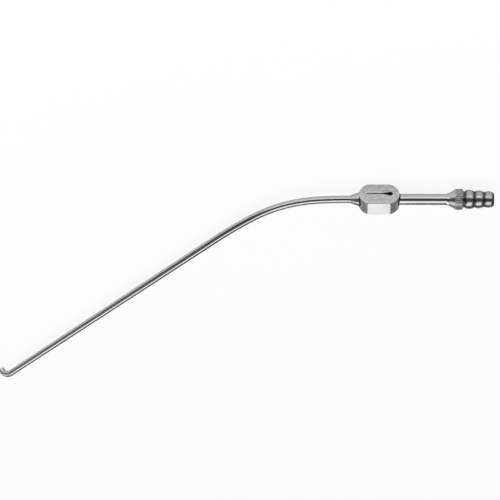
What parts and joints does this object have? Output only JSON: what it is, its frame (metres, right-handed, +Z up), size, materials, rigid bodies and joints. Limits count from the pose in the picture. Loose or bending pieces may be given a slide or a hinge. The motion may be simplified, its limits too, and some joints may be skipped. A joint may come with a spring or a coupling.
{
  "type": "teardrop suction tube",
  "caption": "Bent steel suction tube: a long tapered cannula with a hooked tip, a finger plate with a teardrop vent, and a ringed hose barb behind a knurled collar.",
  "frame": {"origin": "centre of the hose end's mouth, on the axis of the stem and its bore", "axes": "+X along the stem away from the hose, +Y to the side that the cannula bends to, +Z up as the tube lies on its side; the teardrop vent looks to -Y"},
  "size_m": [0.1983, 0.1049, 0.0112],
  "materials": {
    "polished_tube": "polished stainless steel tube",
    "turned_steel": "turned and polished stainless steel",
    "satin_plate": "satin ground stainless steel"
  },
  "bodies": {
    "root": {"cannula": "polished_tube", "ferrule": "turned_steel", "grip_block": "satin_plate", "hose_connector": "turned_steel"}
  },
  "joints": []
}
